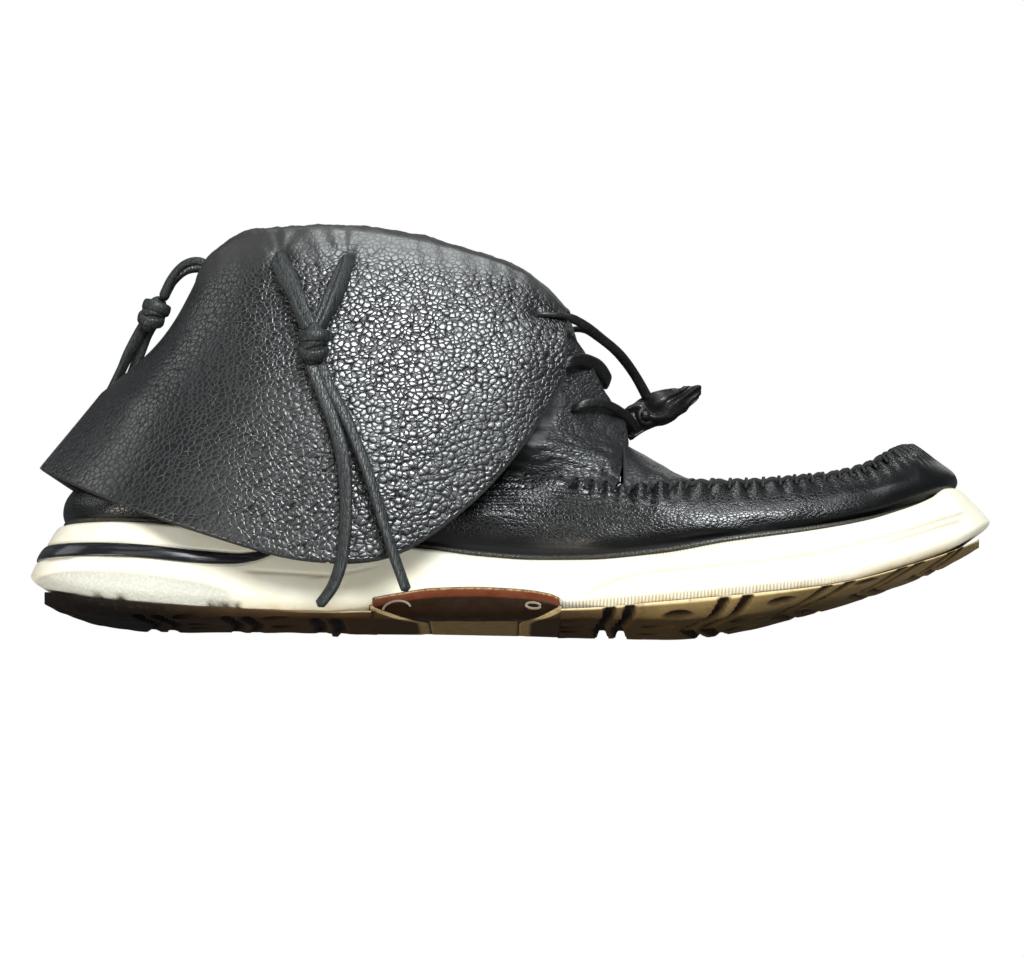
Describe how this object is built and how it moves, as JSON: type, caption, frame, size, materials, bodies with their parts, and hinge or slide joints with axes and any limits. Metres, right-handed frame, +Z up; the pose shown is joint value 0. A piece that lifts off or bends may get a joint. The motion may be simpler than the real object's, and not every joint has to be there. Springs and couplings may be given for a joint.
{
  "type": "moccasin",
  "caption": "Ankle-high leather moccasin with a fold-down cape, knotted thong ties, front lace and a cushioned rubber-tread sole.",
  "frame": {"origin": "centre of the shoe's bounding box at ground level", "axes": "+X to the toe, +Y to the inner (medial) side, +Z up"},
  "size_m": [0.3, 0.1186, 0.1225],
  "materials": {
    "gum_rubber": "semi-gloss moulded gum rubber with wear",
    "midsole_foam": "satin cream foam, lightly scuffed",
    "gloss_stripe": "glossy black band",
    "shank_plastic": "glossy translucent brown",
    "fibre_board": "matte fibre board",
    "footbed_lining": "matte smooth leather over foam",
    "upper_leather": "black grained leather, semi-gloss",
    "cape_leather": "black pebbled full-grain leather, semi-gloss",
    "collar_lining": "soft matte lining leather",
    "lace_leather": "black waxed thong leather",
    "waxed_thread": "waxed thread"
  },
  "bodies": {
    "root": {"outsole_forefoot": "gum_rubber", "outsole_heel": "gum_rubber", "midsole": "midsole_foam", "heel_stripe": "gloss_stripe", "shank_plate": "shank_plastic", "insole_board": "fibre_board", "footbed": "footbed_lining", "heel_counter": "fibre_board", "welt": "upper_leather", "moccasin_wall": "upper_leather", "apron": "upper_leather", "apron_stitches": "waxed_thread", "quarter_lateral": "upper_leather", "quarter_medial": "upper_leather", "collar_lining": "collar_lining", "collar_fold": "cape_leather", "flap_back": "cape_leather", "lower_lace": "lace_leather", "middle_lace": "lace_leather", "top_lace": "lace_leather", "lace_knot": "lace_leather", "back_tie_strands": "lace_leather"},
    "lateral_flap": {"flap_lateral": "cape_leather", "lateral_tie_strands": "lace_leather"},
    "medial_flap": {"flap_medial": "cape_leather", "medial_tie_strands": "lace_leather"},
    "lateral_knot": {"lateral_tie_knot": "lace_leather"},
    "medial_knot": {"medial_tie_knot": "lace_leather"},
    "lateral_tails": {"lateral_tail_front": "lace_leather", "lateral_tail_rear": "lace_leather"},
    "medial_tails": {"medial_tail_front": "lace_leather", "medial_tail_rear": "lace_leather"},
    "back_knot": {"back_tie_knot": "lace_leather"},
    "back_tails": {"back_tail_outer": "lace_leather", "back_tail_inner": "lace_leather"},
    "tongue": {"tongue": "upper_leather"},
    "bow": {"bow_loops": "lace_leather"}
  },
  "joints": [
    {"name": "lateral_flap_lift", "type": "hinge", "parent": "root", "child": "lateral_flap", "pos_m": [-0.022, -0.0355, 0.113], "axis": [-0.9735, -0.0628, 0.2198], "range_deg": [0, 30]},
    {"name": "medial_flap_lift", "type": "hinge", "parent": "root", "child": "medial_flap", "pos_m": [-0.022, 0.0355, 0.113], "axis": [0.9735, -0.0628, -0.2198], "range_deg": [0, 30]},
    {"name": "lateral_knot_swing", "type": "hinge", "parent": "lateral_flap", "child": "lateral_knot", "pos_m": [-0.0602, -0.0542, 0.0875], "axis": [0, 1, 0], "range_deg": [-12, 12]},
    {"name": "medial_knot_swing", "type": "hinge", "parent": "medial_flap", "child": "medial_knot", "pos_m": [-0.0602, 0.0542, 0.0875], "axis": [0, 1, 0], "range_deg": [-12, 12]},
    {"name": "lateral_tails_lift", "type": "hinge", "parent": "lateral_knot", "child": "lateral_tails", "pos_m": [-0.0602, -0.0542, 0.0755], "axis": [-1, 0, 0], "range_deg": [0, 50]},
    {"name": "medial_tails_lift", "type": "hinge", "parent": "medial_knot", "child": "medial_tails", "pos_m": [-0.0602, 0.0542, 0.0755], "axis": [1, 0, 0], "range_deg": [0, 50]},
    {"name": "back_knot_lift", "type": "hinge", "parent": "root", "child": "back_knot", "pos_m": [-0.1095, 0, 0.1035], "axis": [0, 1, 0], "range_deg": [0, 35]},
    {"name": "back_tails_lift", "type": "hinge", "parent": "back_knot", "child": "back_tails", "pos_m": [-0.115, 0.003, 0.0945], "axis": [0, 1, 0], "range_deg": [0, 40]},
    {"name": "tongue_tilt", "type": "hinge", "parent": "root", "child": "tongue", "pos_m": [0.0305, 0, 0.06], "axis": [0, 1, 0], "range_deg": [-18, 0]},
    {"name": "bow_swing", "type": "hinge", "parent": "root", "child": "bow", "pos_m": [0.0435, 0, 0.067], "axis": [0, 1, 0], "range_deg": [-20, 20]}
  ]
}
